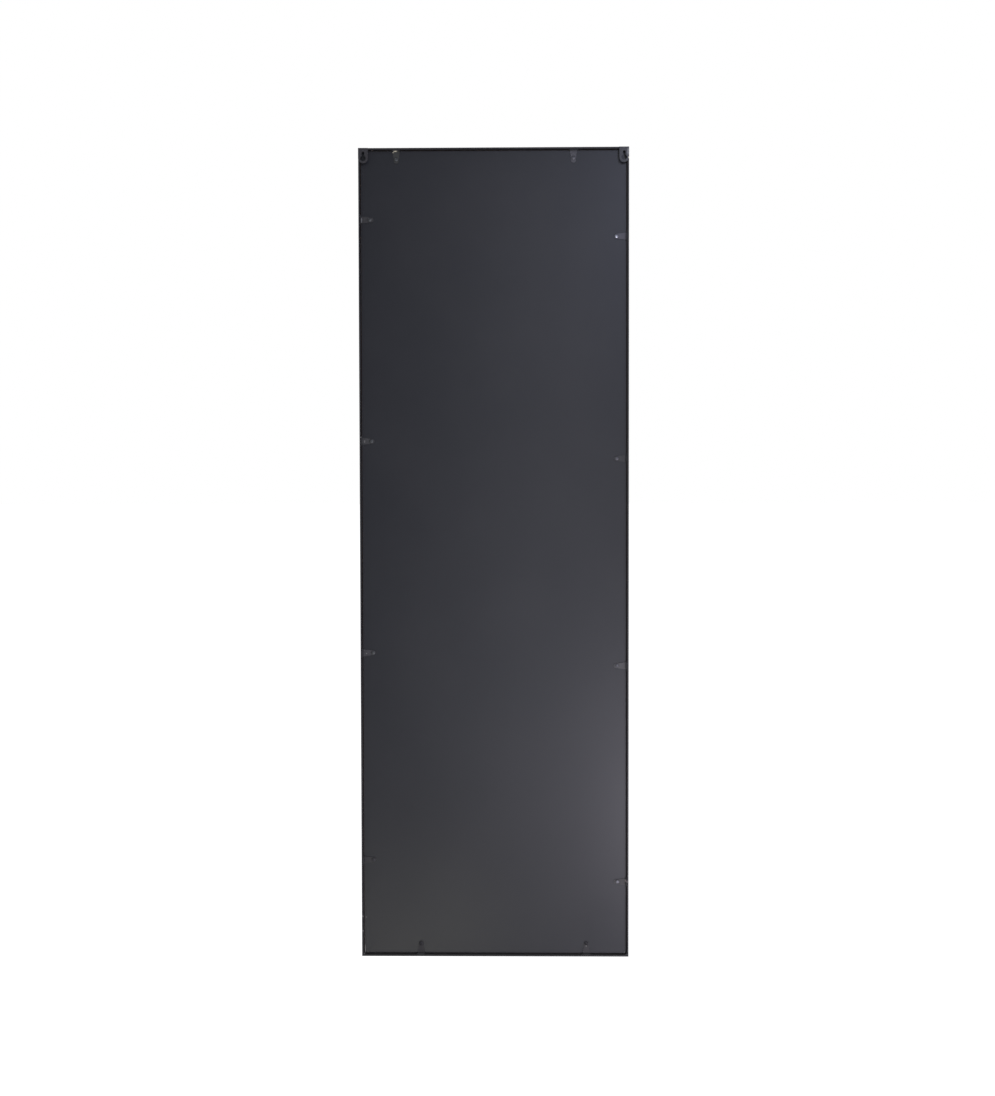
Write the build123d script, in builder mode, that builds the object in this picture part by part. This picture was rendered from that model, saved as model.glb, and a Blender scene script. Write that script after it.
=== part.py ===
"""Tall wall mirror in a thin steel frame, built the way it comes apart on a bench.

A ring of flat steel bar stands edge-on round the mirror. Twelve folded tabs are welded inside
the ring, and the backing board, with the glass taped to its front, goes in from the front until
it meets them. One screw through each tab, from behind, holds the board. Two keyhole plates lie
over the rear rim in the top corners and carry the mirror on two wall screws.

Millimetres. +Z is up, the glass faces -Y and the wall is the plane y = 0. The origin is on the
wall plane, midway between the entry holes of the two keyhole plates. "Left" and "right" are as
seen by someone looking into the glass, so left is -X.
"""

import os
from collections import namedtuple

from build123d import *

# Frame: flat bar on edge, mitred at the corners
frame_width = 498.0
frame_height = 1500.0
bar_depth = 25.0
bar_thickness = 3.0
bar_edge_radius = 0.45

# Glass, its coats, the tape and the board
glass_setback = 2.0
glass_thickness = 4.0
glass_gap = 1.0
glass_arris = 0.4
silver_thickness = 0.1
paint_thickness = 0.1
tape_thickness = 1.0
tape_width = 20.0
tape_count = 4
tape_edge_margin = 18.0
tape_end_margin = 22.0
board_thickness = 9.0
board_gap = 0.5
board_edge_chamfer = 0.5

# Keyhole plates, laid on the rear rim
hanger_thickness = 1.5
hanger_width = 18.0
hanger_edge_radius = 0.35
entry_hole_radius = 5.0
entry_hole_drop = 19.0
slot_width = 5.0
slot_run = 9.5

# Retaining tabs, folded from sheet
tab_thickness = 1.5
tab_bend_radius = 1.0
tab_flange_height = 7.5
tab_root_width = 13.5
tab_tip_width = 8.5
tab_reach = 24.0
tab_hole_radius = 2.0

# Where the tabs sit, from the two ends of each side. The two stiles are counted from opposite
# ends, as the two rails are. The tabs were placed by hand, so each one lies a few millimetres
# off the even pitch between the first and the last. Their holes were drilled by hand too, some
# of them short of the middle of the round tip.
stile_tab_first = 136.0
stile_tab_last = 176.0
left_tab_errors = (3.0, 12.0, 1.0, 14.0)
left_hole_errors = (-2.5, -1.5, -1.0, 0.0)
right_tab_errors = (-6.0, 6.0, 3.5, -4.0)
right_hole_errors = (-2.5, -1.5, 0.0, -0.5)
rail_tab_first = 76.0
rail_tab_last = 106.0
top_tab_errors = (-6.5, 4.2)
top_hole_errors = (-3.0, -4.5)
bottom_tab_errors = (2.5, -4.4)
bottom_hole_errors = (0.0, -0.5)

# Pan-head tapping screws
head_radius = 3.5
head_height = 2.4
head_side_height = 0.9
recess_span = 3.8
recess_width = 0.95
recess_depth = 1.5
recess_taper = 8.0
recess_turn_step = 37.0
thread_radius = 1.75
thread_width = 0.6
core_radius = 1.3
thread_pitch = 1.3
screw_length = 9.5
screw_point_length = 2.2
pilot_clearance = 0.05
pilot_end_clearance = 0.3

# Weld beads: a leg is what a bead covers of each wall, and the bulge is where the middle of its
# face lies, as a share of the leg
corner_weld_leg = 2.2
corner_weld_clearance = 0.6
tab_weld_leg = 1.4
tab_weld_end_margin = 0.5
hanger_weld_leg = 1.1
hanger_weld_length = 9.0
weld_bulge = 0.62

# Planes across the depth, from the wall forwards
rim_y = -hanger_thickness
front_y = rim_y - bar_depth
glass_front_y = front_y + glass_setback
glass_rear_y = glass_front_y + glass_thickness
silver_rear_y = glass_rear_y + silver_thickness
paint_rear_y = silver_rear_y + paint_thickness
tape_rear_y = paint_rear_y + tape_thickness
board_rear_y = tape_rear_y + board_thickness
tab_rear_y = board_rear_y + tab_thickness

# Heights and half widths, from the origin between the entry holes
top_z = entry_hole_drop
bottom_z = top_z - frame_height
middle_z = (top_z + bottom_z) / 2
half_width = frame_width / 2
hanger_x = half_width - hanger_width / 2
inner_half_width = half_width - bar_thickness
inner_top_z = top_z - bar_thickness
inner_bottom_z = bottom_z + bar_thickness

UP = Vector(0, 0, 1)
RIGHT = Vector(1, 0, 0)
REARWARD = Vector(0, 1, 0)

# One side of the frame: its bar's name, the middle of its outer face, the way into the frame,
# the corner that its tabs are counted from, the way they are counted, and how far the tabs and
# their holes are off
Side = namedtuple("Side", "name bar outer inward corner along length first last errors hole_errors")
bottom_side = Side(
    "bottom", "bottom_rail", Vector(0, 0, bottom_z), UP,
    Vector(-half_width, 0, inner_bottom_z), RIGHT,
    frame_width, rail_tab_first, rail_tab_last, bottom_tab_errors, bottom_hole_errors,
)
right_side = Side(
    "right", "right_stile", Vector(half_width, 0, middle_z), -RIGHT,
    Vector(inner_half_width, 0, top_z), -UP,
    frame_height, stile_tab_first, stile_tab_last, right_tab_errors, right_hole_errors,
)
top_side = Side(
    "top", "top_rail", Vector(0, 0, top_z), -UP,
    Vector(half_width, 0, inner_top_z), -RIGHT,
    frame_width, rail_tab_first, rail_tab_last, top_tab_errors, top_hole_errors,
)
left_side = Side(
    "left", "left_stile", Vector(-half_width, 0, middle_z), RIGHT,
    Vector(-inner_half_width, 0, bottom_z), UP,
    frame_height, stile_tab_first, stile_tab_last, left_tab_errors, left_hole_errors,
)
sides = (bottom_side, right_side, top_side, left_side)

os.makedirs("parts", exist_ok=True)


def facing_rear(x, y, z):
    """A plane at a point that faces the wall, with its X along -X and its Y up."""
    return Plane(origin=(x, y, z), x_dir=-RIGHT, z_dir=REARWARD)


def across_bead(corner, run, wall, other_wall):
    """A plane across a bead that starts at corner, goes along run and lies on two walls."""
    turned = wall.cross(other_wall).dot(run) < 0
    return Plane(corner, x_dir=other_wall if turned else wall, z_dir=run)


def tab_seats(side):
    """Planes on a bar's inner face, level with the rear of the board, one for each tab.

    Each has its X into the frame and its Z to the wall.
    """
    pitch = (side.length - side.first - side.last) / (len(side.errors) - 1)
    seats = []
    for number, error in enumerate(side.errors):
        place = side.corner + side.along * (side.first + number * pitch + error)
        seats.append(Plane(place + REARWARD * board_rear_y, x_dir=side.inward, z_dir=REARWARD))
    return seats


def hole_reach(error):
    """How far a tab's hole is from its bar: in the middle of the round tip, but for this error."""
    return tab_reach - tab_tip_width / 2 + error


def screw_seats(side):
    """The planes under the screws' heads, on the rear faces of one side's tabs."""
    seats = []
    for seat, error in zip(tab_seats(side), side.hole_errors):
        place = seat.origin + seat.x_dir * hole_reach(error) + REARWARD * tab_thickness
        seats.append(Plane(place, x_dir=seat.x_dir, z_dir=REARWARD))
    return seats


def save(part, name):
    """Labels a finished piece and writes it as its own node."""
    part.label = name
    export_step(part, f"parts/{name}.step")


def flat_bar(side):
    """One mitred length of flat bar, on edge, from the front of the frame to its rear rim."""
    length = side.length
    section = Plane(
        side.outer + REARWARD * front_y,
        x_dir=side.inward,
        z_dir=side.inward.cross(REARWARD),
    )
    plan = Plane(section.origin, x_dir=section.z_dir, z_dir=REARWARD)
    with BuildPart() as bar:
        with BuildSketch(section.offset(-length / 2)):
            with Locations((bar_thickness / 2, bar_depth / 2)):
                RectangleRounded(bar_thickness, bar_depth, bar_edge_radius)
        extrude(amount=length)
        with BuildSketch(plan):
            with BuildLine():
                Polyline(
                    (-length / 2, 0),
                    (length / 2, 0),
                    (length / 2 - bar_thickness, bar_thickness),
                    (-length / 2 + bar_thickness, bar_thickness),
                    close=True,
                )
            make_face()
        extrude(amount=bar_depth, mode=Mode.INTERSECT)
    return bar.part


def beads(starts, length, leg):
    """Equal fillet welds. Each starts on a plane whose X and Y lie along the two walls."""
    with BuildPart() as weld:
        for start in starts:
            with BuildSketch(start):
                with BuildLine():
                    Line((0, 0), (leg, 0))
                    ThreePointArc((leg, 0), (leg * weld_bulge, leg * weld_bulge), (0, leg))
                    Line((0, leg), (0, 0))
                make_face()
            extrude(amount=length)
    return weld.part


def sheet(width, height, front, rear, edge=0.0):
    """A flat sheet in the middle of the frame, with an arris of this size on every edge."""
    with BuildPart() as flat:
        with BuildSketch(facing_rear(0, front, middle_z)):
            Rectangle(width, height)
        extrude(amount=rear - front)
        if edge:
            chamfer(flat.edges(), edge)
    return flat.part


def backing_board():
    """The board behind the glass, with a blind pilot hole for each screw."""
    width = 2 * (inner_half_width - board_gap)
    height = inner_top_z - inner_bottom_z - 2 * board_gap
    pilot_depth = screw_length - tab_thickness + pilot_end_clearance
    with BuildPart() as board:
        with BuildSketch(facing_rear(0, tape_rear_y, middle_z)):
            Rectangle(width, height)
        extrude(amount=board_thickness)
        chamfer(board.edges(), board_edge_chamfer)
        for side in sides:
            for seat in screw_seats(side):
                with Locations(seat.offset(-tab_thickness)):
                    Hole(thread_radius + pilot_clearance, pilot_depth)
    return board.part


def tape_strip(x):
    """A vertical strip of double-sided foam tape between the painted glass and the board."""
    glass_height = inner_top_z - inner_bottom_z - 2 * glass_gap
    with BuildPart() as strip:
        with BuildSketch(facing_rear(x, paint_rear_y, middle_z)):
            Rectangle(tape_width, glass_height - 2 * tape_end_margin)
        extrude(amount=tape_thickness)
    return strip.part


def keyhole_plate(x):
    """A plate over the rim with a round entry hole and, above it, the slot the screw hangs in."""
    with BuildPart() as hanger:
        with BuildSketch(facing_rear(x, rim_y, 0)):
            with BuildLine():
                Line((-hanger_width / 2, 0), (-hanger_width / 2, top_z))
                Line((-hanger_width / 2, top_z), (hanger_width / 2, top_z))
                Line((hanger_width / 2, top_z), (hanger_width / 2, 0))
                RadiusArc((hanger_width / 2, 0), (-hanger_width / 2, 0), hanger_width / 2)
            make_face()
        extrude(amount=hanger_thickness)
        fillet(hanger.edges().group_by(Axis.Y)[-1], hanger_edge_radius)
        with BuildSketch(facing_rear(x, rim_y, 0)):
            Circle(entry_hole_radius)
            with Locations((0, slot_run / 2)):
                Rectangle(slot_width, slot_run)
            with Locations((0, slot_run)):
                Circle(slot_width / 2)
        extrude(amount=hanger_thickness, mode=Mode.SUBTRACT)
    return hanger.part


def retaining_tab(seat, hole_error):
    """A folded tab: a flange welded to the bar's inner face and a tongue lying on the board."""
    profile = Plane(seat.origin, x_dir=seat.x_dir, z_dir=-seat.y_dir)
    tip_radius = tab_tip_width / 2
    tip_centre = tab_reach - tip_radius
    with BuildPart() as tab:
        with BuildSketch(profile.offset(-tab_root_width / 2)):
            with BuildLine() as fold:
                Polyline(
                    (0, 0),
                    (tab_reach, 0),
                    (tab_reach, tab_thickness),
                    (tab_thickness, tab_thickness),
                    (tab_thickness, tab_flange_height),
                    (0, tab_flange_height),
                    close=True,
                )
            make_face()
            inner_corner = fold.vertices().sort_by_distance((tab_thickness, tab_thickness))[0]
            outer_corner = fold.vertices().sort_by_distance((0, 0))[0]
            fillet(inner_corner, tab_bend_radius)
            fillet(outer_corner, tab_bend_radius + tab_thickness)
        extrude(amount=tab_root_width)
        with BuildSketch(seat):
            with BuildLine():
                Line((0, -tab_root_width / 2), (0, tab_root_width / 2))
                Line((0, tab_root_width / 2), (tip_centre, tip_radius))
                RadiusArc((tip_centre, tip_radius), (tip_centre, -tip_radius), tip_radius)
                Line((tip_centre, -tip_radius), (0, -tab_root_width / 2))
            make_face()
        extrude(amount=tab_flange_height, mode=Mode.INTERSECT)
        with BuildSketch(seat):
            with Locations((hole_reach(hole_error), 0)):
                Circle(tab_hole_radius)
        extrude(amount=tab_thickness, mode=Mode.SUBTRACT)
    return tab.part


def pan_screw(seat, turn):
    """A pan-head tapping screw with a cross recess at this turn. The head sits on seat."""
    through_axis = Plane(seat.origin, x_dir=seat.x_dir, z_dir=-seat.y_dir)
    head_top = Plane(
        seat.origin + REARWARD * head_height,
        x_dir=seat.x_dir,
        z_dir=-REARWARD,
    )
    threaded_length = screw_length - screw_point_length
    ring_count = int(threaded_length // thread_pitch)
    shank = [(head_radius, 0)]
    for ring in range(ring_count):
        ring_end = (ring + 1) * thread_pitch
        shank.append((core_radius, -ring * thread_pitch))
        shank.append((core_radius, thread_width - ring_end))
        shank.append((thread_radius, thread_width / 2 - ring_end))
    shank.append((core_radius, -ring_count * thread_pitch))
    shank.append((core_radius, -threaded_length))
    shank.append((0, -screw_length))
    with BuildPart() as screw:
        with BuildSketch(through_axis):
            with BuildLine():
                EllipticalCenterArc(
                    (0, head_side_height),
                    head_radius,
                    head_height - head_side_height,
                    arc_size=90,
                )
                Line((head_radius, head_side_height), (head_radius, 0))
                Polyline(*shank)
                Line((0, -screw_length), (0, head_height))
            make_face()
        revolve(axis=Axis(seat.origin, seat.z_dir))
        with BuildSketch(head_top):
            Rectangle(recess_span, recess_width, rotation=turn)
            Rectangle(recess_width, recess_span, rotation=turn)
        extrude(amount=recess_depth, taper=recess_taper, mode=Mode.SUBTRACT)
    return screw.part


def corner_weld(side, next_side):
    """The bead up the inner corner between two bars, behind the board and ahead of the rim."""
    corner = Vector(
        (side.inward + next_side.inward).X * -inner_half_width,
        board_rear_y + corner_weld_clearance,
        inner_bottom_z if (side.inward + next_side.inward).Z > 0 else inner_top_z,
    )
    start = across_bead(corner, REARWARD, side.inward, next_side.inward)
    length = rim_y - board_rear_y - 2 * corner_weld_clearance
    return beads([start], length, corner_weld_leg)


def tab_welds(side):
    """The two short beads of each tab on one bar, along the edges of its flange."""
    lift = tab_bend_radius + tab_thickness
    length = tab_flange_height - lift - tab_weld_end_margin
    starts = []
    for seat in tab_seats(side):
        for outward in (seat.y_dir, -seat.y_dir):
            corner = seat.origin + outward * (tab_root_width / 2) + REARWARD * lift
            starts.append(across_bead(corner, REARWARD, seat.x_dir, outward))
    return beads(starts, length, tab_weld_leg)


def hanger_welds(side):
    """Two beads under a keyhole plate, one along the stile and one along the top rail."""
    from_corner = corner_weld_leg + corner_weld_clearance
    corner = Vector(-side.inward.X * inner_half_width, rim_y, inner_top_z)
    along_stile = across_bead(
        corner - UP * from_corner, -UP, side.inward, -REARWARD,
    )
    along_rail = across_bead(
        corner + side.inward * from_corner, side.inward, -UP, -REARWARD,
    )
    return beads([along_stile, along_rail], hanger_weld_length, hanger_weld_leg)


# The frame, with what is welded to it
for side in sides:
    save(flat_bar(side), side.bar)
    save(tab_welds(side), f"{side.name}_tab_welds")
    places = zip(tab_seats(side), screw_seats(side), side.hole_errors)
    for number, (tab_place, screw_place, hole_error) in enumerate(places, start=1):
        save(retaining_tab(tab_place, hole_error), f"{side.name}_tab_{number}")
        turn = recess_turn_step * number * len(side.name)
        save(pan_screw(screw_place, turn), f"{side.name}_screw_{number}")

save(corner_weld(bottom_side, right_side), "corner_weld_bottom_right")
save(corner_weld(right_side, top_side), "corner_weld_top_right")
save(corner_weld(top_side, left_side), "corner_weld_top_left")
save(corner_weld(left_side, bottom_side), "corner_weld_bottom_left")

save(keyhole_plate(-hanger_x), "left_hanger")
save(keyhole_plate(hanger_x), "right_hanger")
save(hanger_welds(left_side), "left_hanger_welds")
save(hanger_welds(right_side), "right_hanger_welds")

# The mirror, from the front backwards
glass_width = 2 * (inner_half_width - glass_gap)
glass_height = inner_top_z - inner_bottom_z - 2 * glass_gap
coat_width = glass_width - 2 * glass_arris
coat_height = glass_height - 2 * glass_arris
save(sheet(glass_width, glass_height, glass_front_y, glass_rear_y, glass_arris), "mirror_glass")
save(sheet(coat_width, coat_height, glass_rear_y, silver_rear_y), "silver_coat")
save(sheet(coat_width, coat_height, silver_rear_y, paint_rear_y), "backing_paint")

first_tape_x = -(glass_width / 2 - tape_edge_margin - tape_width / 2)
tape_pitch = -2 * first_tape_x / (tape_count - 1)
for number in range(tape_count):
    save(tape_strip(first_tape_x + number * tape_pitch), f"foam_tape_{number + 1}")

save(backing_board(), "backing_board")
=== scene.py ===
"""Finishes, edge seal, light and camera for the tall steel-framed wall mirror, seen from behind.

Everything is in metres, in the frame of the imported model: +Z up, the glass faces -Y and the wall
side faces +Y. Someone looking at the back sees +X on their left.
"""

from collections import namedtuple
from math import cos, pi, radians, sin

import bmesh
import bpy
from mathutils import Matrix, Vector


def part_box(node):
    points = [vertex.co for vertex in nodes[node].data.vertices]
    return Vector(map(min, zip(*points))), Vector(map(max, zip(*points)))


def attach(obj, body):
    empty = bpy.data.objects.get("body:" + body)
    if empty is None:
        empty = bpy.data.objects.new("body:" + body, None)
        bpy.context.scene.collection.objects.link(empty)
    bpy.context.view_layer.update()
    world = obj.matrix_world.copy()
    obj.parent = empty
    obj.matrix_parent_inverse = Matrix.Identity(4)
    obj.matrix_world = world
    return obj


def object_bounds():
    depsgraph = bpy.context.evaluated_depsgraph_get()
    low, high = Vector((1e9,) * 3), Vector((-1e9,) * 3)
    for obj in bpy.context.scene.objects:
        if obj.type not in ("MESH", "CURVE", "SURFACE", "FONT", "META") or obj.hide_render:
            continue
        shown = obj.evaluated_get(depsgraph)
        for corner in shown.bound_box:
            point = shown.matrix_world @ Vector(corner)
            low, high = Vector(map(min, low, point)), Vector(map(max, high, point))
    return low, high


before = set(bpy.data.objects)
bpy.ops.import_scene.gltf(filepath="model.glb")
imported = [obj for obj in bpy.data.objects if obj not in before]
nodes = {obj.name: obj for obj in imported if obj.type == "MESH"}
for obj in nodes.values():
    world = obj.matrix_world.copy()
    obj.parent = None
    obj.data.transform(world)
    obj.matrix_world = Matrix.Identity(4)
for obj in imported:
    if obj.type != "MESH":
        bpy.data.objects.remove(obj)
cad_low, cad_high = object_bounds()

# The camera: its lens in the picture's pixels, its place, and its turns in degrees
PICTURE_HEIGHT_PIXELS = 1096.0
FOCAL_PIXELS = 1509.4
SENSOR_MM = 36.0
CAMERA_PLACE = Vector((-0.0486, 2.7929, -0.6251))
CAMERA_YAW = 0.873
CAMERA_PITCH = -1.888
CAMERA_ROLL = -0.119

# Where the bars, the board and the tabs' tongues are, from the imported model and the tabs' sheet
OUTER_X = cad_high.x
TOP_Z = cad_high.z
BOTTOM_Z = cad_low.z
MIDDLE = (cad_low + cad_high) / 2
RIM_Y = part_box("top_rail")[1].y
BAR = TOP_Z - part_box("top_rail")[0].z
BOARD_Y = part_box("backing_board")[1].y
TAB_SHEET = 0.0015
TONGUE_Y = BOARD_Y + TAB_SHEET

# The bead round the glass
SEAL_INSET = 0.0006
SEAL_ROUND = 0.0003

# The floor: how far it lies below the mirror, its side, and how far it reaches behind the mirror
FLOOR_DROP = 0.64
FLOOR_SIZE = 400.0
FLOOR_BEHIND = 12.0


def middle_of(node):
    """The middle of a node's box."""
    low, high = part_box(node)
    return (low + high) / 2


def named(word):
    """The nodes whose names hold this word, in order."""
    return [nodes[name] for name in sorted(nodes) if word in name]


# Shader nodes


class Wiring:
    """A short way to add nodes to a tree and link them."""

    def __init__(self, tree):
        self.tree = tree

    def add(self, kind, **inputs):
        """A node of this kind. An input is a value or another node's output socket."""
        node = self.tree.nodes.new(kind)
        for key, value in inputs.items():
            self.feed(node.inputs[key.replace("_", " ")], value)
        return node

    def feed(self, socket, value):
        """Sets a socket, or links it if the value is an output."""
        if isinstance(value, bpy.types.NodeSocket):
            self.tree.links.new(value, socket)
        else:
            socket.default_value = value

    def math(self, operation, first, second=0.0):
        """The result of one math step."""
        node = self.tree.nodes.new("ShaderNodeMath")
        node.operation = operation
        self.feed(node.inputs[0], first)
        self.feed(node.inputs[1], second)
        return node.outputs[0]

    def vector(self, operation, first, second=(0.0, 0.0, 0.0)):
        """The vector result of one vector math step."""
        node = self.tree.nodes.new("ShaderNodeVectorMath")
        node.operation = operation
        self.feed(node.inputs[0], first)
        self.feed(node.inputs[1], second)
        return node.outputs[0]

    def length(self, offset):
        """The length of a vector."""
        node = self.tree.nodes.new("ShaderNodeVectorMath")
        node.operation = "LENGTH"
        self.feed(node.inputs[0], offset)
        return node.outputs["Value"]

    def parts(self, vector):
        """The X, Y and Z of a vector."""
        return self.add("ShaderNodeSeparateXYZ", Vector=vector).outputs

    def ramp(self, value, low, high, to_low=0.0, to_high=1.0):
        """A value eased from low..high to to_low..to_high."""
        node = self.tree.nodes.new("ShaderNodeMapRange")
        node.interpolation_type = "SMOOTHSTEP"
        self.feed(node.inputs["Value"], value)
        self.feed(node.inputs["From Min"], low)
        self.feed(node.inputs["From Max"], high)
        self.feed(node.inputs["To Min"], to_low)
        self.feed(node.inputs["To Max"], to_high)
        return node.outputs["Result"]

    def noise(self, place, per_metre, detail=2.0, roughness=0.5, distortion=0.0):
        """Smooth noise from 0 to 1, with this many lumps to a metre."""
        node = self.tree.nodes.new("ShaderNodeTexNoise")
        self.feed(node.inputs["Vector"], place)
        self.feed(node.inputs["Scale"], per_metre)
        self.feed(node.inputs["Detail"], detail)
        self.feed(node.inputs["Roughness"], roughness)
        self.feed(node.inputs["Distortion"], distortion)
        return node.outputs["Fac"]

    def mix(self, share, first, second):
        """A colour between two, by share."""
        node = self.tree.nodes.new("ShaderNodeMix")
        node.data_type = "RGBA"
        self.feed(node.inputs[0], share)
        self.feed(node.inputs[6], first)
        self.feed(node.inputs[7], second)
        return node.outputs[2]

    def scaled(self, colour, amount):
        """A colour made lighter or darker by an amount."""
        node = self.tree.nodes.new("ShaderNodeVectorMath")
        node.operation = "SCALE"
        self.feed(node.inputs[0], colour)
        self.feed(node.inputs["Scale"], amount)
        return node.outputs[0]

    def group(self, group, **inputs):
        """The outputs of a copy of a shared group, with its own values."""
        node = self.tree.nodes.new("ShaderNodeGroup")
        node.node_tree = group
        for key, value in inputs.items():
            self.feed(node.inputs[key.replace("_", " ")], value)
        return node.outputs


FLOAT = "NodeSocketFloat"
VECTOR = "NodeSocketVector"


def shared_group(name, takes, gives):
    """A new shader group with these named inputs and outputs, and its wiring."""
    tree = bpy.data.node_groups.new(name, "ShaderNodeTree")
    for socket, kind, value in takes:
        made = tree.interface.new_socket(socket, in_out="INPUT", socket_type=kind)
        if value is not None:
            made.default_value = value
    for socket, kind in gives:
        tree.interface.new_socket(socket, in_out="OUTPUT", socket_type=kind)
    start = tree.nodes.new("NodeGroupInput")
    end = tree.nodes.new("NodeGroupOutput")
    return tree, Wiring(tree), start.outputs, end.inputs


def spray_skin_group():
    """The skin of sprayed powder: a fine orange peel with a little drift in tone and gloss."""
    tree, wiring, takes, gives = shared_group(
        "spray_skin",
        [("Place", VECTOR, None), ("Peel Size", FLOAT, 0.0012), ("Tone", FLOAT, 0.15)],
        [("Height", FLOAT), ("Tone", FLOAT), ("Gloss", FLOAT)],
    )
    grit_to_peel = 3.1
    grit_height = 0.25
    place = takes["Place"]
    density = wiring.math("DIVIDE", 1.0, takes["Peel Size"])
    peel = wiring.noise(place, density, detail=1.5)
    grit = wiring.noise(place, wiring.math("MULTIPLY", density, grit_to_peel), detail=1.0)
    wiring.feed(gives["Height"], wiring.math("ADD", peel, wiring.math("MULTIPLY", grit, grit_height)))
    cloud = wiring.noise(place, per_metre=9.0, detail=3.0)
    drift = wiring.math("MULTIPLY", wiring.math("SUBTRACT", cloud, 0.5), takes["Tone"])
    wiring.feed(gives["Tone"], wiring.math("ADD", 1.0, drift))
    wiring.feed(gives["Gloss"], wiring.noise(place, per_metre=22.0, detail=4.0))
    return tree


def rubbed_arris_group():
    """Where handling has rubbed the rounded edges: the faces that point along no axis."""
    tree, wiring, takes, gives = shared_group(
        "rubbed_arris",
        [("Place", VECTOR, None), ("Facing", VECTOR, None), ("Amount", FLOAT, 0.5)],
        [("Mask", FLOAT)],
    )
    flat_face = 0.985
    rounded_edge = 0.90
    unrubbed = 0.75
    ragged_rim = 0.12
    facing = wiring.parts(wiring.vector("ABSOLUTE", takes["Facing"]))
    flattest = wiring.math("MAXIMUM", wiring.math("MAXIMUM", facing["X"], facing["Y"]), facing["Z"])
    turned = wiring.ramp(flattest, flat_face, rounded_edge)
    patchy = wiring.noise(takes["Place"], per_metre=55.0, detail=5.0, roughness=0.65)
    low = wiring.math("SUBTRACT", unrubbed, wiring.math("MULTIPLY", takes["Amount"], 0.5))
    broken = wiring.ramp(patchy, low, wiring.math("ADD", low, ragged_rim))
    wiring.feed(gives["Mask"], wiring.math("MULTIPLY", turned, broken))
    return tree


def chip_and_highlight_group():
    """One scuffed or chipped spot in the paint, or a painted highlight: a ragged patch round a centre,
    drawn out by a stretch.
    """
    tree, wiring, takes, gives = shared_group(
        "chip_and_highlight",
        [
            ("Place", VECTOR, None),
            ("Centre", VECTOR, None),
            ("Radius", FLOAT, 0.002),
            ("Stretch", VECTOR, (1.0, 1.0, 1.0)),
        ],
        [("Mask", FLOAT)],
    )
    least_reach = 0.45
    solid_share = 0.75
    offset = wiring.vector("SUBTRACT", takes["Place"], takes["Centre"])
    away = wiring.length(wiring.vector("DIVIDE", offset, takes["Stretch"]))
    ragged = wiring.noise(takes["Place"], per_metre=900.0, detail=3.0, roughness=0.6)
    reach = wiring.math("MULTIPLY", takes["Radius"], wiring.math("ADD", least_reach, ragged))
    wiring.feed(gives["Mask"], wiring.ramp(away, reach, wiring.math("MULTIPLY", reach, solid_share)))
    return tree


def weld_ripple_group():
    """The ripples that a weld pool leaves as it moves along, whichever way the bead runs."""
    tree, wiring, takes, gives = shared_group(
        "weld_ripple",
        [("Place", VECTOR, None), ("Pitch", FLOAT, 0.0011)],
        [("Height", FLOAT)],
    )
    run_of_each_axis = (0.3, 1.0, 0.7)
    wander_size = 0.0014
    along = wiring.parts(wiring.vector("MULTIPLY", takes["Place"], run_of_each_axis))
    run = wiring.math("ADD", wiring.math("ADD", along["X"], along["Y"]), along["Z"])
    wander = wiring.math("MULTIPLY", wiring.noise(takes["Place"], per_metre=300.0), wander_size)
    turn = wiring.math("DIVIDE", wiring.math("ADD", run, wander), takes["Pitch"])
    wave = wiring.math("ABSOLUTE", wiring.math("SINE", wiring.math("MULTIPLY", turn, pi)))
    lump = wiring.noise(takes["Place"], per_metre=520.0, detail=3.0)
    wiring.feed(gives["Height"], wiring.math("ADD", wave, lump))
    return tree


def mitre_line_group():
    """The filled hairline where two bars meet at a corner, on the diagonal of the frame."""
    tree, wiring, takes, gives = shared_group(
        "mitre_line",
        [("Place", VECTOR, None), ("Width", FLOAT, 0.0002)],
        [("Mask", FLOAT)],
    )
    spot = wiring.parts(takes["Place"])
    from_side = wiring.math("SUBTRACT", OUTER_X, wiring.math("ABSOLUTE", spot["X"]))
    from_top = wiring.math("SUBTRACT", TOP_Z, spot["Z"])
    from_bottom = wiring.math("SUBTRACT", spot["Z"], BOTTOM_Z)
    from_end = wiring.math("MINIMUM", from_top, from_bottom)
    away = wiring.math("ABSOLUTE", wiring.math("SUBTRACT", from_side, from_end))
    wiring.feed(gives["Mask"], wiring.ramp(away, takes["Width"], 0.0))
    return tree


def settled_dust_group():
    """Fine pale dust and lint in loose drifts, and an even film on what looks up."""
    tree, wiring, takes, gives = shared_group(
        "settled_dust",
        [
            ("Place", VECTOR, None),
            ("Facing", VECTOR, None),
            ("Amount", FLOAT, 0.3),
            ("Film", FLOAT, 0.0),
        ],
        [("Mask", FLOAT)],
    )
    speck_share = 0.9
    haze_share = 0.1
    drift = wiring.ramp(wiring.noise(takes["Place"], per_metre=5.0, detail=3.0), 0.35, 0.75)
    speck = wiring.noise(takes["Place"], per_metre=700.0, detail=2.0, roughness=0.7)
    specks = wiring.math("MULTIPLY", wiring.ramp(speck, 0.66, 0.78), speck_share)
    haze = wiring.math("ADD", specks, haze_share)
    loose = wiring.math("MULTIPLY", wiring.math("MULTIPLY", drift, haze), takes["Amount"])
    looks_up = wiring.ramp(wiring.parts(takes["Facing"])["Z"], 0.6, 0.95)
    film = wiring.math("MULTIPLY", looks_up, takes["Film"])
    wiring.feed(gives["Mask"], wiring.math("MAXIMUM", loose, film))
    return tree


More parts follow.
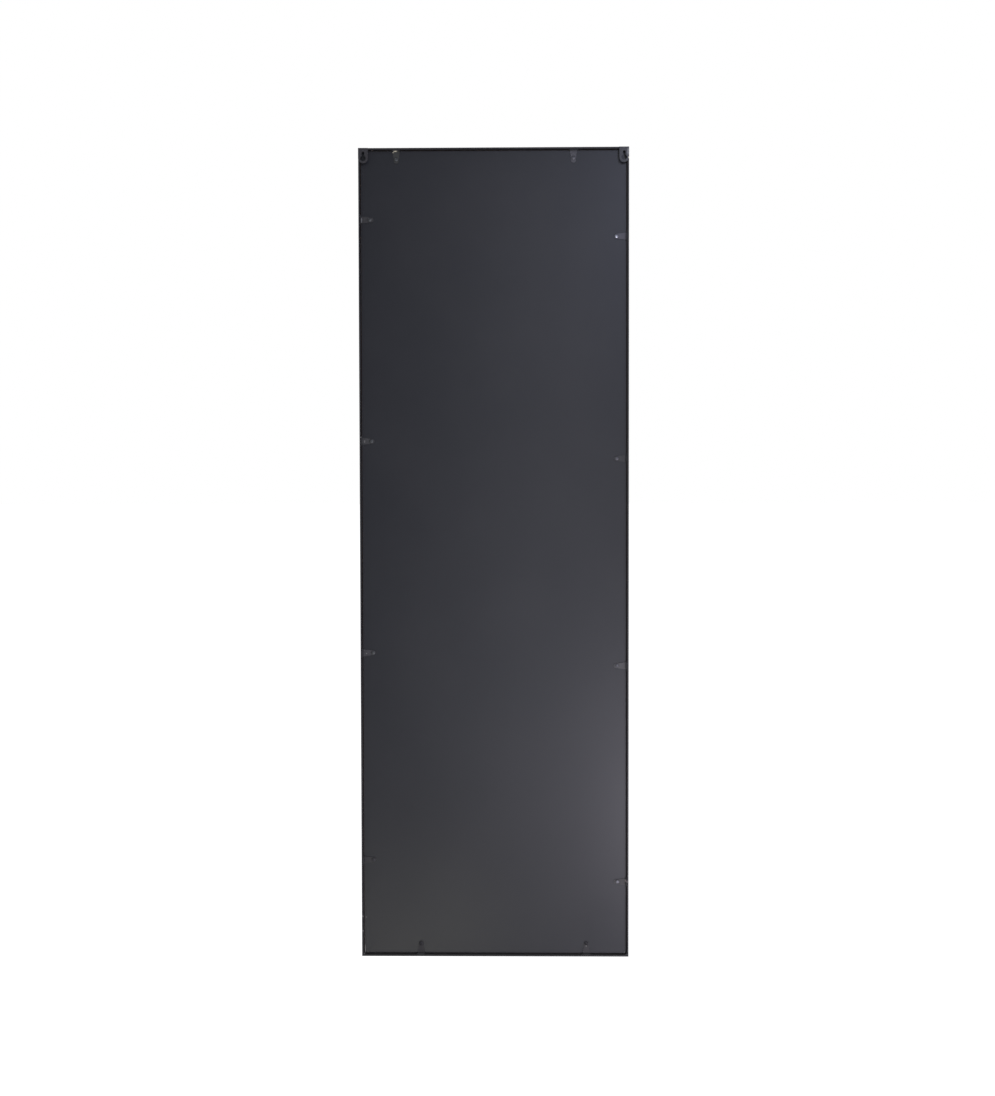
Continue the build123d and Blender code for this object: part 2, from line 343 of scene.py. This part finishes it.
def tab_tongue_group():
    """The outer face of a tab's tongue, and not its fold or its flange: where a tab's painted sheen or
    shade goes.
    """
    tree, wiring, takes, gives = shared_group(
        "tab_tongue",
        [("Place", VECTOR, None), ("Facing", VECTOR, None)],
        [("Mask", FLOAT)],
    )
    past_fold = TONGUE_Y + 0.0006
    in_fold = TONGUE_Y + 0.0018
    low = wiring.ramp(wiring.parts(takes["Place"])["Y"], in_fold, past_fold)
    outward = wiring.ramp(wiring.parts(takes["Facing"])["Y"], 0.3, 0.8)
    wiring.feed(gives["Mask"], wiring.math("MULTIPLY", low, outward))
    return tree


def worn_plating_group():
    """The drift in the tone and gloss of a screw's finish, and the driver's scuffs."""
    tree, wiring, takes, gives = shared_group(
        "worn_plating",
        [("Place", VECTOR, None), ("Smoothest", FLOAT, 0.5), ("Roughest", FLOAT, 0.7)],
        [("Tone", FLOAT), ("Roughness", FLOAT), ("Scuffs", FLOAT)],
    )
    cloud = wiring.noise(takes["Place"], per_metre=420.0, detail=3.0)
    wiring.feed(gives["Tone"], wiring.ramp(cloud, 0.3, 0.75))
    gloss = wiring.ramp(cloud, 0.2, 0.8, takes["Smoothest"], takes["Roughest"])
    wiring.feed(gives["Roughness"], gloss)
    wiring.feed(gives["Scuffs"], wiring.noise(takes["Place"], per_metre=2600.0, detail=2.0))
    return tree


def fine_grain_group():
    """The fine grain of a thin coat, a foam or a sealant."""
    tree, wiring, takes, gives = shared_group(
        "fine_grain",
        [
            ("Place", VECTOR, None),
            ("Size", FLOAT, 0.001),
            ("Smoothest", FLOAT, 0.5),
            ("Roughest", FLOAT, 0.6),
        ],
        [("Grain", FLOAT), ("Roughness", FLOAT)],
    )
    grain = wiring.noise(takes["Place"], wiring.math("DIVIDE", 1.0, takes["Size"]), detail=3.0)
    wiring.feed(gives["Grain"], grain)
    gloss = wiring.ramp(grain, 0.2, 0.8, takes["Smoothest"], takes["Roughest"])
    wiring.feed(gives["Roughness"], gloss)
    return tree


SPRAY_SKIN = spray_skin_group()
RUBBED_ARRIS = rubbed_arris_group()
CHIP_AND_HIGHLIGHT = chip_and_highlight_group()
WELD_RIPPLE = weld_ripple_group()
MITRE_LINE = mitre_line_group()
DUST = settled_dust_group()
TAB_TONGUE = tab_tongue_group()
WORN_PLATING = worn_plating_group()
FINE_GRAIN = fine_grain_group()

# Scuffs, chipped paint and painted highlights

# Primer cream shows in chipped paint, and also serves as a painted highlight on the left hanger's edge
PRIMER_AND_HIGHLIGHT_CREAM = (0.72, 0.67, 0.52, 1.0)
RUBBED_STEEL = (0.30, 0.29, 0.28, 1.0)
RUBBED_PAINT = (0.17, 0.165, 0.16, 1.0)
# A pale grey used only for painted highlights on a tab bend and a hanger edge
PAINTED_HIGHLIGHT_GREY = (0.20, 0.20, 0.205, 1.0)
THIN_PAINT = (0.13, 0.125, 0.125, 1.0)
RUSTY_PINK = (0.46, 0.39, 0.385, 1.0)

# A place where paint is scuffed or gone, or a painted highlight: how far it is drawn out each way, and
# what shows in it
ChipAndHighlight = namedtuple("ChipAndHighlight", "centre radius stretch colour")
ROUND = (1.0, 1.0, 1.0)

# Each of these is for the piece or pieces that it marks
TOP_TAB = middle_of("top_tab_1")
TOP_TAB_1_CHIPS = (
    ChipAndHighlight(Vector((TOP_TAB.x + 0.0012, -0.0068, TOP_Z - 0.0048)), 0.0022, (2.1, 1.4, 0.8), PRIMER_AND_HIGHLIGHT_CREAM),
    ChipAndHighlight(Vector((TOP_TAB.x + 0.0062, -0.0086, TOP_Z - 0.0070)), 0.0014, (1.6, 1.5, 0.8), PRIMER_AND_HIGHLIGHT_CREAM),
)
LEFT_TAB_1_CHIPS = (
    ChipAndHighlight(Vector((-0.2434, -0.0060, -1.3398)), 0.0019, (1.0, 2.0, 2.3), RUSTY_PINK),
)
# A painted highlight, not a scuff: a thin pale streak down the inner bend between the tab's flange and
# tongue, where the bend catches the light
RIGHT_TAB_1_PAINTED_HIGHLIGHT = (
    ChipAndHighlight(Vector((0.2436, -0.0075, -0.1115)), 0.0013, (0.9, 1.8, 5.6), PAINTED_HIGHLIGHT_GREY),
)
RIGHT_TAB_2_CHIPS = (
    ChipAndHighlight(Vector((0.2403, TONGUE_Y, -0.5194)), 0.0022, (0.7, 1.0, 1.3), THIN_PAINT),
    ChipAndHighlight(Vector((0.2437, -0.0050, -0.5140)), 0.0014, (1.2, 1.6, 0.8), THIN_PAINT),
)
RIGHT_TAB_3_CHIPS = (
    ChipAndHighlight(Vector((0.2387, TONGUE_Y, -0.9139)), 0.0016, (0.8, 1.0, 1.0), RUBBED_PAINT),
)
BOTTOM_TAB_1_CHIPS = (
    ChipAndHighlight(Vector((-0.1704, TONGUE_Y, -1.4630)), 0.0016, (0.8, 1.0, 1.2), RUBBED_PAINT),
)
FRAME_CHIPS = (
    ChipAndHighlight(Vector((OUTER_X - 0.0012, RIM_Y, -1.4058)), 0.0016, (2.0, 1.0, 1.0), RUBBED_PAINT),
    ChipAndHighlight(Vector((OUTER_X - 0.0012, RIM_Y, -1.4333)), 0.0015, (2.0, 1.0, 1.0), RUBBED_PAINT),
    ChipAndHighlight(Vector((OUTER_X - BAR, RIM_Y, -0.5120)), 0.0014, (1.5, 1.0, 0.8), THIN_PAINT),
    ChipAndHighlight(Vector((-OUTER_X + BAR, RIM_Y, -1.3398)), 0.0009, (1.0, 1.0, 2.6), RUSTY_PINK),
)
WELD_CHIPS = (
    ChipAndHighlight(Vector((0.2453, -0.0040, -0.5117)), 0.0012, ROUND, THIN_PAINT),
    ChipAndHighlight(Vector((0.2448, -0.0045, -1.4770)), 0.0016, (1.0, 2.0, 1.0), RUBBED_PAINT),
    ChipAndHighlight(Vector((-0.2448, -0.0040, -1.4768)), 0.0013, ROUND, RUBBED_PAINT),
    TOP_TAB_1_CHIPS[1],
)
# Painted highlights, not wear: an upright pale streak on the left hanger's outer edge and a pale spot
# at its lower corner, where the edge catches the light
LEFT_HANGER_PAINTED_HIGHLIGHTS = (
    ChipAndHighlight(Vector((-0.2472, 0.0, 0.0098)), 0.0019, (1.0, 1.5, 4.2), PAINTED_HIGHLIGHT_GREY),
    ChipAndHighlight(Vector((-0.2483, 0.0, -0.0006)), 0.0012, (0.9, 1.5, 1.5), PRIMER_AND_HIGHLIGHT_CREAM),
)
# Pale grey marks on the board's face near its bottom corners, one drawn out into a thin upright streak
BOARD_PALE_MARKS = (
    ChipAndHighlight(Vector((0.2436, BOARD_Y, -1.4695)), 0.0012, (0.75, 1.0, 7.5), RUBBED_PAINT),
    ChipAndHighlight(Vector((-0.2420, BOARD_Y, -1.4754)), 0.0013, ROUND, RUBBED_PAINT),
    ChipAndHighlight(Vector((0.2413, BOARD_Y, -1.4097)), 0.0011, (1.0, 1.0, 1.5), THIN_PAINT),
)

# Finishes

DUST_COLOUR = (0.42, 0.40, 0.38, 1.0)
DUST_FILM = 0.07
DUST_DULLING = 0.3
ARRIS_SHARE = 0.3

# The depth of the orange peel, and how deep or high the rest is against it
PEEL_DEPTH = 0.00005
BARE_DEPTH = 1.5
RIPPLE_HEIGHT = 4.0
SEAM_DEPTH = 1.2

BOARD_DARK = (0.0140, 0.0152, 0.0195, 1.0)
BOARD_LIGHT = (0.0172, 0.0178, 0.0220, 1.0)
BOARD_GRAIN_DEPTH = 0.000006
RAW_FIBRE_DARK = (0.16, 0.095, 0.052, 1.0)
RAW_FIBRE_LIGHT = (0.27, 0.18, 0.11, 1.0)

SCUFF_DEPTH = 0.00001

GLASS_EDGE = (0.10, 0.22, 0.17, 1.0)
GLASS_FACE = (0.87, 0.90, 0.885, 1.0)
GROUND_ROUGHNESS = 0.35
POLISHED_ROUGHNESS = 0.012
SMEAR_ROUGHNESS = 0.012


def new_finish(name):
    """A material with its wiring, its shader, the place on the piece and the true facing."""
    material = bpy.data.materials.new(name)
    material.use_nodes = True
    tree = material.node_tree
    tree.nodes.clear()
    shader = tree.nodes.new("ShaderNodeBsdfPrincipled")
    output = tree.nodes.new("ShaderNodeOutputMaterial")
    tree.links.new(shader.outputs["BSDF"], output.inputs["Surface"])
    place = tree.nodes.new("ShaderNodeTexCoord").outputs["Object"]
    facing = tree.nodes.new("ShaderNodeNewGeometry").outputs["True Normal"]
    return material, Wiring(tree), shader, place, facing


def bump(wiring, height, depth):
    """A normal from a height of this depth in metres."""
    return wiring.add("ShaderNodeBump", Distance=depth, Height=height).outputs["Normal"]


def darker(colour, share):
    """A solid colour that keeps this share of another's light."""
    return tuple(part * share for part in colour[:3]) + (1.0,)


def chip_and_highlight_mask(wiring, place, chip_and_highlight):
    """Where one scuff or chip lies."""
    return wiring.group(
        CHIP_AND_HIGHLIGHT, Place=place, Centre=chip_and_highlight.centre, Radius=chip_and_highlight.radius, Stretch=chip_and_highlight.stretch
    )["Mask"]


def powder_coat(name, colour, roughness, rub, peel=0.0012, chips_and_highlights=(), dust=0.25, drift=0.06,
                fold_colour=None, welded=False, seam=False):
    """Satin powder coat on steel, rubbed on its arrises, and chipped or given a painted highlight where
    listed.

    A fold colour is that of all but the tongue of a tab, whose colour is then painted sheen or shade.
    A welded one has the ripples of the bead under it, and a seam is the hairline of a mitre.
    """
    material, wiring, shader, place, facing = new_finish(name)
    skin = wiring.group(SPRAY_SKIN, Place=place, Peel_Size=peel, Tone=0.5)
    tone = wiring.scaled(colour, skin["Tone"])
    # On a tab, the given colour is painted sheen or painted shade and goes on the tongue only; the fold
    # colour is the plain coat
    if fold_colour:
        folded = wiring.scaled(fold_colour, skin["Tone"])
        on_tongue = wiring.group(TAB_TONGUE, Place=place, Facing=facing)["Mask"]
        tone = wiring.mix(on_tongue, folded, tone)
    dusty = wiring.group(DUST, Place=place, Facing=facing, Amount=dust, Film=DUST_FILM)["Mask"]
    shown = wiring.mix(dusty, tone, DUST_COLOUR)
    bare_and_highlight = wiring.group(RUBBED_ARRIS, Place=place, Facing=facing, Amount=rub)["Mask"]
    shown = wiring.mix(wiring.math("MULTIPLY", bare_and_highlight, ARRIS_SHARE), shown, RUBBED_STEEL)
    # Each listed spot is chipped paint or a painted highlight; it takes its colour and sinks the coat a
    # little
    for chip_and_highlight in chips_and_highlights:
        mask = chip_and_highlight_mask(wiring, place, chip_and_highlight)
        shown = wiring.mix(mask, shown, chip_and_highlight.colour)
        bare_and_highlight = wiring.math("MAXIMUM", bare_and_highlight, mask)
    wiring.feed(shader.inputs["Base Color"], shown)
    gloss = wiring.ramp(skin["Gloss"], 0.25, 0.75, roughness - drift, roughness + drift)
    gloss = wiring.math("ADD", gloss, wiring.math("MULTIPLY", dusty, DUST_DULLING))
    wiring.feed(shader.inputs["Roughness"], gloss)
    height = wiring.math("SUBTRACT", skin["Height"], wiring.math("MULTIPLY", bare_and_highlight, BARE_DEPTH))
    if welded:
        ripple = wiring.group(WELD_RIPPLE, Place=place)["Height"]
        height = wiring.math("ADD", height, wiring.math("MULTIPLY", ripple, RIPPLE_HEIGHT))
    if seam:
        line = wiring.group(MITRE_LINE, Place=place)["Mask"]
        height = wiring.math("SUBTRACT", height, wiring.math("MULTIPLY", line, SEAM_DEPTH))
    wiring.feed(shader.inputs["Normal"], bump(wiring, height, PEEL_DEPTH))
    return material


def board_finish():
    """The board: a dark satin melamine face, and raw brown fibreboard on its cut edges."""
    material, wiring, shader, place, facing = new_finish("board_melamine")
    cloud = wiring.noise(place, per_metre=2.6, detail=4.0, roughness=0.55)
    face = wiring.mix(wiring.ramp(cloud, 0.3, 0.7), BOARD_DARK, BOARD_LIGHT)
    dusty = wiring.group(DUST, Place=place, Amount=0.05)["Mask"]
    face = wiring.mix(dusty, face, DUST_COLOUR)
    for chip_and_highlight in BOARD_PALE_MARKS:
        face = wiring.mix(chip_and_highlight_mask(wiring, place, chip_and_highlight), face, chip_and_highlight.colour)
    fibre = wiring.noise(place, per_metre=340.0, detail=3.0)
    raw = wiring.mix(fibre, RAW_FIBRE_DARK, RAW_FIBRE_LIGHT)
    on_face = wiring.ramp(wiring.parts(facing)["Y"], 0.55, 0.85)
    wiring.feed(shader.inputs["Base Color"], wiring.mix(on_face, raw, face))
    patches = wiring.noise(place, per_metre=7.0, detail=5.0, roughness=0.6)
    sheen = wiring.ramp(patches, 0.3, 0.7, 0.30, 0.33)
    coarser = wiring.ramp(on_face, 0.0, 1.0, 2.0, 1.0)
    wiring.feed(shader.inputs["Roughness"], wiring.math("MULTIPLY", sheen, coarser))
    grain = wiring.noise(place, per_metre=1500.0, detail=2.0)
    wiring.feed(shader.inputs["Normal"], bump(wiring, grain, BOARD_GRAIN_DEPTH))
    return material


def screw_finish(name, colour, roughness, metallic):
    """A screw dulled and scuffed by the driver, in a colour, gloss and metalness given per screw as
    painted glint or painted shade.
    """
    material, wiring, shader, place, _ = new_finish(name)
    worn = wiring.group(
        WORN_PLATING, Place=place, Smoothest=roughness - 0.07, Roughest=roughness + 0.1
    )
    tone = wiring.mix(worn["Tone"], darker(colour, 0.6), colour)
    wiring.feed(shader.inputs["Base Color"], tone)
    shader.inputs["Metallic"].default_value = metallic
    wiring.feed(shader.inputs["Roughness"], worn["Roughness"])
    wiring.feed(shader.inputs["Normal"], bump(wiring, worn["Scuffs"], SCUFF_DEPTH))
    return material


def mirror_finish():
    """The silvered glass: a clean reflection with the glass's green in it, deeper at the edges."""
    material, wiring, shader, place, facing = new_finish("silvered_glass")
    on_face = wiring.ramp(wiring.math("ABSOLUTE", wiring.parts(facing)["Y"]), 0.8, 0.95)
    wiring.feed(shader.inputs["Base Color"], wiring.mix(on_face, GLASS_EDGE, GLASS_FACE))
    shader.inputs["Metallic"].default_value = 1.0
    wiped = wiring.noise(place, per_metre=6.0, detail=5.0, roughness=0.7, distortion=1.5)
    smear = wiring.ramp(wiped, 0.45, 0.8, 0.0, SMEAR_ROUGHNESS)
    ground = wiring.ramp(on_face, 0.0, 1.0, GROUND_ROUGHNESS, POLISHED_ROUGHNESS)
    gloss = wiring.math("ADD", ground, wiring.math("MULTIPLY", smear, on_face))
    wiring.feed(shader.inputs["Roughness"], gloss)
    return material


def plain_coat(name, colour, roughness, grain_size, depth, metallic=0.0):
    """A thin coat, a foam or a sealant: a colour with a fine grain."""
    material, wiring, shader, place, _ = new_finish(name)
    fine = wiring.group(
        FINE_GRAIN, Place=place, Size=grain_size, Smoothest=roughness, Roughest=roughness + 0.1
    )
    tone = wiring.mix(fine["Grain"], darker(colour, 0.86), colour)
    wiring.feed(shader.inputs["Base Color"], tone)
    shader.inputs["Metallic"].default_value = metallic
    wiring.feed(shader.inputs["Roughness"], fine["Roughness"])
    wiring.feed(shader.inputs["Normal"], bump(wiring, fine["Grain"], depth))
    return material


def give(pieces, material):
    """Puts one finish on every one of these pieces."""
    for piece in pieces:
        piece.data.materials.clear()
        piece.data.materials.append(material)


# The bead that closes the gap round the glass


def seal_shape(width, height, gap, front, rear):
    """A ring of this outer size and as wide as the gap, from front to rear, with rounded front lips."""
    mesh = bmesh.new()
    bmesh.ops.create_grid(mesh, x_segments=1, y_segments=1, size=0.5)
    bmesh.ops.scale(mesh, vec=(width, height, 1.0), verts=mesh.verts)
    upright = Matrix.Rotation(radians(90), 3, "X")
    bmesh.ops.rotate(mesh, cent=(0, 0, 0), matrix=upright, verts=mesh.verts)
    bmesh.ops.translate(mesh, vec=(0.0, front, (TOP_Z + BOTTOM_Z) / 2), verts=mesh.verts)
    ring = bmesh.ops.inset_region(
        mesh, faces=mesh.faces[:], thickness=gap, use_boundary=True, use_even_offset=True
    )["faces"]
    middle = [face for face in mesh.faces if face not in ring]
    bmesh.ops.delete(mesh, geom=middle, context="FACES")
    grown = bmesh.ops.extrude_face_region(mesh, geom=mesh.faces[:])["geom"]
    moved = [item for item in grown if isinstance(item, bmesh.types.BMVert)]
    bmesh.ops.translate(mesh, vec=(0.0, rear - front, 0.0), verts=moved)
    at_front = [edge for edge in mesh.edges if all(v.co.y < front + SEAL_ROUND for v in edge.verts)]
    lips = [edge for edge in at_front if edge.calc_face_angle(0.0) > 1.0]
    bmesh.ops.bevel(
        mesh, geom=lips, offset=SEAL_ROUND, segments=3, profile=0.5, affect="EDGES", material=-1
    )
    bmesh.ops.recalc_face_normals(mesh, faces=mesh.faces[:])
    return mesh


def edge_seal():
    """The black bead between the glass's edge and the bars, a little behind the glass's face."""
    glass_low, glass_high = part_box("mirror_glass")
    width = 2 * (OUTER_X - BAR)
    height = TOP_Z - BOTTOM_Z - 2 * BAR
    gap = (width - (glass_high.x - glass_low.x)) / 2
    mesh = seal_shape(width, height, gap, glass_low.y + SEAL_INSET, glass_high.y - SEAL_INSET)
    data = bpy.data.meshes.new("edge_seal")
    mesh.to_mesh(data)
    mesh.free()
    seal = bpy.data.objects.new("edge_seal", data)
    bpy.context.scene.collection.objects.link(seal)
    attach(seal, "root")
    return seal


# Which piece has which finish

# The top rail's coat is painted lighter than the other bars', as painted light: its inner face looks
# down, where the lamps leave it in shade
for name, colour in (
    ("top_rail", (0.0185, 0.0178, 0.0190)),
    ("bottom_rail", (0.0120, 0.0114, 0.0124)),
    ("left_stile", (0.0125, 0.0120, 0.0130)),
    ("right_stile", (0.0115, 0.0110, 0.0122)),
):
    coat = powder_coat(name + "_coat", colour, roughness=0.46, rub=0.02, chips_and_highlights=FRAME_CHIPS,
                       dust=0.10, drift=0.02, seam=True)
    give([nodes[name]], coat)

# All tabs have one coat, TAB_FOLD on the fold and flange; each tongue's colour is painted light,
# lighter for painted sheen where a tongue is tilted to the lamps and darker for painted shade
TAB_FOLD = (0.018, 0.0175, 0.019)
for name, colour, rub, chips_and_highlights in (
    ("right_tab_1", (0.033, 0.032, 0.034), 0.3, RIGHT_TAB_1_PAINTED_HIGHLIGHT),
    ("right_tab_2", (0.038, 0.039, 0.041), 0.4, RIGHT_TAB_2_CHIPS),
    ("right_tab_3", (0.048, 0.047, 0.052), 0.3, RIGHT_TAB_3_CHIPS),
    ("right_tab_4", (0.026, 0.025, 0.026), 0.1, ()),
    ("left_tab_1", (0.064, 0.061, 0.062), 0.4, LEFT_TAB_1_CHIPS),
    ("left_tab_2", (0.092, 0.090, 0.093), 0.4, ()),
    ("left_tab_3", (0.039, 0.039, 0.041), 0.3, ()),
    ("left_tab_4", (0.080, 0.080, 0.098), 0.3, ()),
    ("top_tab_1", (0.031, 0.033, 0.030), 0.3, TOP_TAB_1_CHIPS),
    ("top_tab_2", (0.079, 0.079, 0.090), 0.3, ()),
    ("bottom_tab_1", (0.036, 0.034, 0.037), 0.1, BOTTOM_TAB_1_CHIPS),
    ("bottom_tab_2", (0.016, 0.015, 0.016), 0.1, ()),
):
    coat = powder_coat(name + "_coat", colour, roughness=0.60, rub=rub, chips_and_highlights=chips_and_highlights,
                       fold_colour=TAB_FOLD)
    give([nodes[name]], coat)

# The screws are all alike and the plain zinc is their own finish; the bright zinc is a painted glint,
# the lighter and darker greys painted light and shade, and the black ones painted shade
for finish, colour, roughness, metallic, screws in (
    ("screw_zinc", (0.34, 0.34, 0.36, 1.0), 0.60, 1.0,
     ("left_screw_2", "left_screw_3", "top_screw_2")),
    ("screw_zinc_painted_glint", (0.72, 0.74, 0.80, 1.0), 0.28, 1.0, ("left_screw_4",)),
    ("screw_zinc_painted_lighter", (0.44, 0.44, 0.47, 1.0), 0.50, 1.0, ("left_screw_1",)),
    ("screw_zinc_painted_darker", (0.255, 0.265, 0.265, 1.0), 0.62, 1.0,
     ("right_screw_1", "right_screw_2", "right_screw_3", "top_screw_1")),
    ("screw_painted_black_shade", (0.030, 0.029, 0.033, 1.0), 0.50, 0.0,
     ("bottom_screw_1", "bottom_screw_2")),
    ("screw_painted_dark_shade", (0.062, 0.060, 0.066, 1.0), 0.50, 0.0, ("right_screw_4",)),
):
    give([nodes[name] for name in screws], screw_finish(finish, colour, roughness, metallic))

give(
    [nodes["right_hanger"]],
    powder_coat("dark_hanger_coat", (0.029, 0.027, 0.030), roughness=0.46, rub=0.4),
)
# The left hanger's coat is painted lighter than the right one's, as a painted highlight where the plate
# catches the lamps; the right hanger has the plain coat
give(
    [nodes["left_hanger"]],
    powder_coat("hanger_coat_painted_lighter", (0.043, 0.044, 0.049), roughness=0.42, rub=0.6,
                chips_and_highlights=LEFT_HANGER_PAINTED_HIGHLIGHTS),
)
give(
    named("weld"),
    powder_coat("weld_powder_coat", (0.020, 0.020, 0.022), roughness=0.42, rub=0.2, peel=0.0008,
                chips_and_highlights=WELD_CHIPS, welded=True),
)
give([nodes["backing_board"]], board_finish())
give([nodes["mirror_glass"]], mirror_finish())
give(
    [nodes["silver_coat"]],
    plain_coat("silver_film", (0.90, 0.91, 0.92, 1.0), roughness=0.05, grain_size=0.002,
               depth=0.000001, metallic=1.0),
)
give(
    [nodes["backing_paint"]],
    plain_coat("grey_back_paint", (0.20, 0.21, 0.22, 1.0), roughness=0.60, grain_size=0.001,
               depth=0.00001),
)
give(
    named("foam_tape"),
    plain_coat("white_foam", (0.80, 0.80, 0.78, 1.0), roughness=0.85, grain_size=0.0005,
               depth=0.0001),
)
give(
    [edge_seal()],
    plain_coat("black_sealant", (0.012, 0.012, 0.013, 1.0), roughness=0.45, grain_size=0.0015,
               depth=0.00005),
)

# Room

WHITE = (1.0, 1.0, 1.0, 1.0)
ROOM_FILL = (0.62, 0.63, 0.65, 1.0)
ROOM_BEHIND_CAMERA = (0.15, 0.155, 0.17, 1.0)
ROOM_BEFORE_GLASS_LOW = (0.86, 0.87, 0.88, 1.0)
ROOM_BEFORE_GLASS_HIGH = (0.62, 0.64, 0.67, 1.0)
FLOOR_GREY = (0.42, 0.42, 0.42, 1.0)
FLOOR_LIFT_SEEN = 0.85
FLOOR_LIFT_IN_GLASS = 0.32


def camera():
    """The camera, from where the picture was taken."""
    data = bpy.data.cameras.new("camera")
    data.sensor_width = SENSOR_MM
    data.lens = FOCAL_PIXELS / PICTURE_HEIGHT_PIXELS * SENSOR_MM
    turned = radians(CAMERA_YAW)
    tipped = radians(CAMERA_PITCH)
    rolled = radians(CAMERA_ROLL)
    right = Vector((-cos(turned), -sin(turned), 0.0))
    back = Vector((-sin(turned), cos(turned), 0.0))
    up = Vector((0.0, 0.0, 1.0))
    up, back = up * cos(tipped) + back * sin(tipped), back * cos(tipped) - up * sin(tipped)
    right, up = right * cos(rolled) + up * sin(rolled), up * cos(rolled) - right * sin(rolled)
    axes = Matrix((right, up, back)).transposed().to_4x4()
    made = bpy.data.objects.new("camera", data)
    made.matrix_world = Matrix.Translation(CAMERA_PLACE) @ axes
    bpy.context.scene.collection.objects.link(made)
    bpy.context.scene.camera = made


def area_light(name, place, width, height, radiance, colour=(1.0, 1.0, 1.0), aim=None):
    """A soft rectangular lamp of this radiance, turned to a point, or else straight at the back."""
    if aim is None:
        aim = (place[0], 0.0, place[2])
    data = bpy.data.lights.new(name, "AREA")
    data.shape = "RECTANGLE"
    data.size = width
    data.size_y = height
    data.energy = radiance * pi * width * height
    data.color = colour
    made = bpy.data.objects.new(name, data)
    made.location = place
    made.rotation_euler = (Vector(aim) - Vector(place)).to_track_quat("-Z", "Y").to_euler()
    made.visible_camera = False
    bpy.context.scene.collection.objects.link(made)


def room_light():
    """The room: white to the camera, and to gloss dim behind the camera and pale before the glass."""
    world = bpy.data.worlds.new("room")
    world.use_nodes = True
    world.cycles.sampling_method = "NONE"
    bpy.context.scene.world = world
    tree = world.node_tree
    tree.nodes.clear()
    wiring = Wiring(tree)
    path = tree.nodes.new("ShaderNodeLightPath").outputs
    way = wiring.parts(tree.nodes.new("ShaderNodeTexCoord").outputs["Generated"])
    upward = wiring.ramp(way["Z"], -0.1, 0.7)
    before_glass = wiring.mix(upward, ROOM_BEFORE_GLASS_LOW, ROOM_BEFORE_GLASS_HIGH)
    gloss = wiring.mix(wiring.ramp(way["Y"], -0.3, 0.3), before_glass, ROOM_BEHIND_CAMERA)
    seen = wiring.mix(path["Is Glossy Ray"], ROOM_FILL, gloss)
    seen = wiring.mix(path["Is Transmission Ray"], seen, WHITE)
    seen = wiring.mix(path["Is Camera Ray"], seen, WHITE)
    background = wiring.add("ShaderNodeBackground", Color=seen, Strength=1.0)
    output = tree.nodes.new("ShaderNodeOutputWorld")
    tree.links.new(background.outputs[0], output.inputs["Surface"])


def floor_finish(plane_y):
    """The floor's pale grey, lifted to white for the camera, and a little in the glass."""
    material = bpy.data.materials.new("pale_floor")
    material.use_nodes = True
    tree = material.node_tree
    tree.nodes.clear()
    wiring = Wiring(tree)
    matte = wiring.add("ShaderNodeBsdfDiffuse", Color=FLOOR_GREY)
    path = tree.nodes.new("ShaderNodeLightPath").outputs
    depth = wiring.parts(tree.nodes.new("ShaderNodeTexCoord").outputs["Object"])["Y"]
    before_glass = wiring.ramp(depth, 0.3 - plane_y, -0.3 - plane_y)
    in_glass = wiring.math("MULTIPLY", path["Is Glossy Ray"], before_glass)
    lift_in_glass = wiring.math("MULTIPLY", in_glass, FLOOR_LIFT_IN_GLASS)
    lift_seen = wiring.math("MULTIPLY", path["Is Camera Ray"], FLOOR_LIFT_SEEN)
    lift = wiring.math("ADD", lift_seen, lift_in_glass)
    white = wiring.add("ShaderNodeEmission", Color=WHITE, Strength=lift)
    summed = tree.nodes.new("ShaderNodeAddShader")
    tree.links.new(matte.outputs[0], summed.inputs[0])
    tree.links.new(white.outputs[0], summed.inputs[1])
    output = tree.nodes.new("ShaderNodeOutputMaterial")
    tree.links.new(summed.outputs[0], output.inputs["Surface"])
    return material


def floor():
    """A pale floor some way below the mirror.

    It reaches much further before the glass than behind it, so that the glass shows a level horizon.
    """
    plane_y = FLOOR_BEHIND - FLOOR_SIZE / 2
    place = (0.0, plane_y, BOTTOM_Z - FLOOR_DROP)
    bpy.ops.mesh.primitive_plane_add(size=FLOOR_SIZE, location=place)
    plane = bpy.context.object
    plane.name = "floor"
    plane.data.materials.append(floor_finish(plane_y))


camera()
room_light()
floor()
area_light("key", place=(-0.851, 2.2, 0.461), width=0.461, height=0.794, radiance=6.08,
           colour=(0.65, 0.70, 1.0))
area_light("low_lamp", place=(-1.359, 3.0, -1.838), width=1.149, height=0.23, radiance=47.2,
           colour=(0.917, 0.871, 1.0))
area_light("card", place=(-0.222, 3.0, -0.529), width=0.771, height=2.934, radiance=1.08,
           colour=(0.885, 0.90, 1.0))
area_light("side_card", place=(0.26, 3.0, -1.42), width=0.62, height=1.10, radiance=0.19,
           colour=(1.0, 0.97, 0.92))
area_light("floor_glow", place=(0.303, 1.6, -1.923), width=0.582, height=0.116, radiance=4.02,
           colour=(1.0, 0.965, 0.80))
area_light("front_fill", place=(1.6, -2.6, 1.2), width=1.8, height=1.8, radiance=2.0, aim=MIDDLE)
bpy.context.scene.view_settings.view_transform = "Standard"
